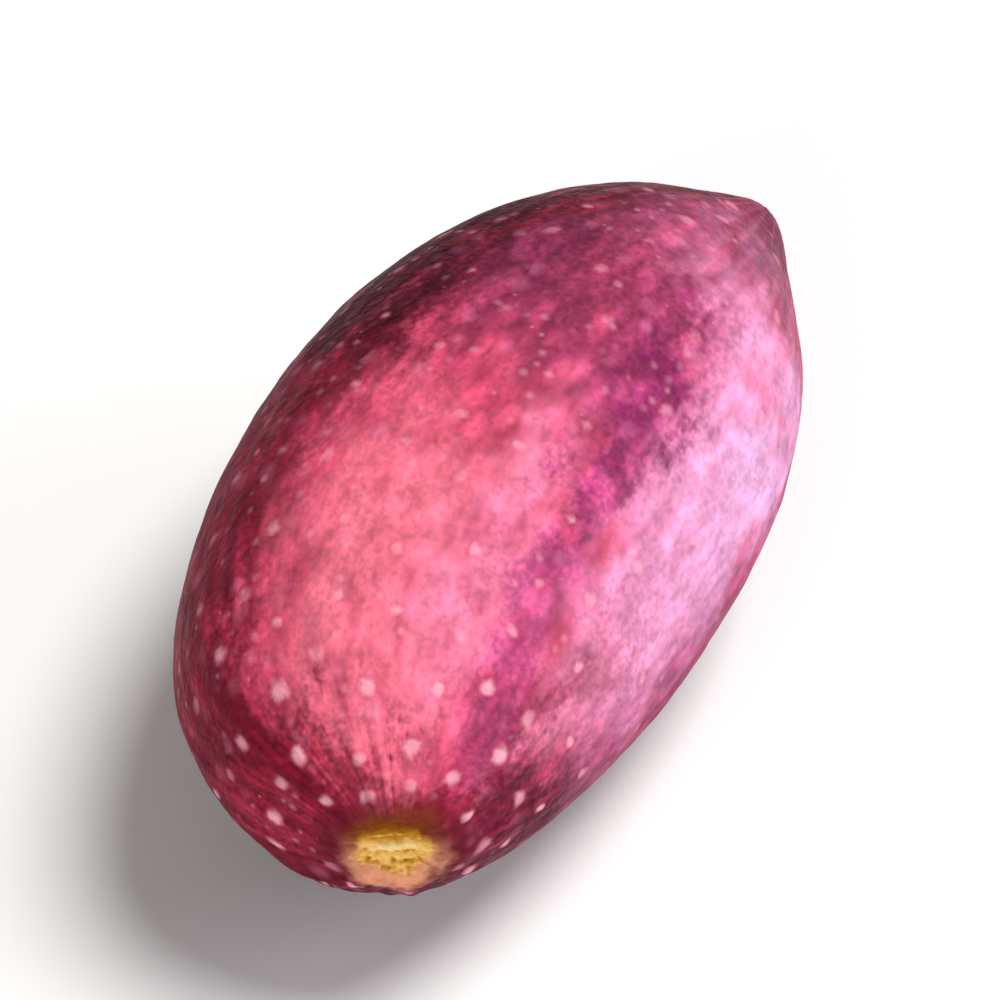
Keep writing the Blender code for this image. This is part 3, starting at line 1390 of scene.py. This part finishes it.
def stand(data: Union[bpy.types.Light, bpy.types.Camera], aim: Vector, azimuth: float,
          elevation: float, distance: float) -> bpy.types.Object:
    """Stand a light or the camera off the fruit, facing it.

    Args:
        data: The light or the camera.
        aim: The point that it faces.
        azimuth: The side it stands on, in degrees: 0 is -Y and 90 is +X.
        elevation: Above the horizon, in degrees.
        distance: How far it is from the point.

    Returns:
        The object, in the scene.
    """
    turn, rise = math.radians(azimuth), math.radians(elevation)
    level = math.cos(rise)
    back = Vector((math.sin(turn) * level, -math.cos(turn) * level, math.sin(rise)))
    made = bpy.data.objects.new(data.name, data)
    made.location = aim + back * distance
    made.rotation_euler = back.to_track_quat("Z", "Y").to_euler()
    bpy.context.scene.collection.objects.link(made)
    return made


@dataclass(frozen=True)
class SoftLight:
    """One soft area light: where it stands, seen from the fruit, and how it shines."""

    name: str
    azimuth: float
    elevation: float
    distance: float
    size: float
    power: float
    color: tuple[float, float, float]

    def build(self, aim: Vector) -> bpy.types.Object:
        """Put the light in the scene, facing the fruit.

        Args:
            aim: The point that it faces.

        Returns:
            The light.
        """
        data = bpy.data.lights.new(self.name, "AREA")
        data.shape = "DISK"
        data.size = self.size
        data.energy = self.power
        data.color = self.color
        return stand(data, aim, self.azimuth, self.elevation, self.distance)


@dataclass
class Studio:
    """The plain pale floor, the soft lights and the camera at the photograph's viewing angle."""

    azimuth: float = -59.8
    elevation: float = 51.0
    distance: float = 0.210
    frame_width: float = 0.0300
    sensor: float = 36.0
    nearest: float = 0.01
    floor_size: float = 3.0
    floor_gap: float = 0.00002
    floor_color: Color = (0.86, 0.86, 0.87, 1.0)
    floor_roughness: float = 0.7
    floor_specular: float = 0.2
    sky_color: Color = (1.0, 1.0, 1.0, 1.0)
    sky_strength: float = 0.24
    lights: tuple[SoftLight, ...] = (
        SoftLight("key", 40.0, 68.0, 0.60, 0.26, 3.4, (1.0, 0.98, 0.95)),
        SoftLight("fill", -84.0, 24.0, 0.60, 0.34, 0.98, (1.0, 0.97, 0.93)),
        SoftLight("window", 32.0, 24.0, 0.60, 0.30, 0.95, (0.90, 0.90, 1.0)),
    )

    def build(self) -> None:
        """Build the floor, the lights, the sky and the camera."""
        low, high = (Vector(corner) for corner in CAD_BOX)
        middle = (low + high) / 2.0
        self.floor(low.z)
        for light in self.lights:
            light.build(middle)
        self.sky()
        self.camera(middle)
        bpy.context.scene.view_settings.view_transform = "Standard"

    def floor(self, level: float) -> None:
        """Lay the floor just under the fruit.

        Args:
            level: The height that the fruit rests at.
        """
        half = self.floor_size / 2.0
        mesh = bpy.data.meshes.new("floor")
        corners = [(-half, -half, 0.0), (half, -half, 0.0), (half, half, 0.0), (-half, half, 0.0)]
        mesh.from_pydata(corners, [], [(0, 1, 2, 3)])
        floor = bpy.data.objects.new("floor", mesh)
        floor.location.z = level - self.floor_gap
        material = bpy.data.materials.new("floor")
        material.use_nodes = True
        shader = material.node_tree.nodes["Principled BSDF"]
        shader.inputs["Base Color"].default_value = self.floor_color
        shader.inputs["Roughness"].default_value = self.floor_roughness
        shader.inputs["Specular IOR Level"].default_value = self.floor_specular
        mesh.materials.append(material)
        bpy.context.scene.collection.objects.link(floor)

    def sky(self) -> None:
        """Fill the room with even white light."""
        world = bpy.data.worlds.new("room")
        world.use_nodes = True
        background = world.node_tree.nodes["Background"]
        background.inputs["Color"].default_value = self.sky_color
        background.inputs["Strength"].default_value = self.sky_strength
        bpy.context.scene.world = world

    def camera(self, aim: Vector) -> None:
        """Stand the camera where the photograph was taken from, closer in by its lens alone.

        Args:
            aim: The point that it faces.
        """
        data = bpy.data.cameras.new("camera")
        data.sensor_width = self.sensor
        data.lens = self.sensor * self.distance / self.frame_width
        data.clip_start = self.nearest
        camera = stand(data, aim, self.azimuth, self.elevation, self.distance)
        bpy.context.scene.camera = camera


def main() -> None:
    """Build the fruit and its studio, and report each."""
    logging.basicConfig(level=logging.INFO, format="%(name)s: %(message)s")
    piece = Fruit().build()
    log.info("skin: %d vertices, %d faces", len(piece.data.vertices), len(piece.data.polygons))
    Studio().build()
    log.info("studio: floor, lights and camera")


if __name__ == "__main__":
    main()
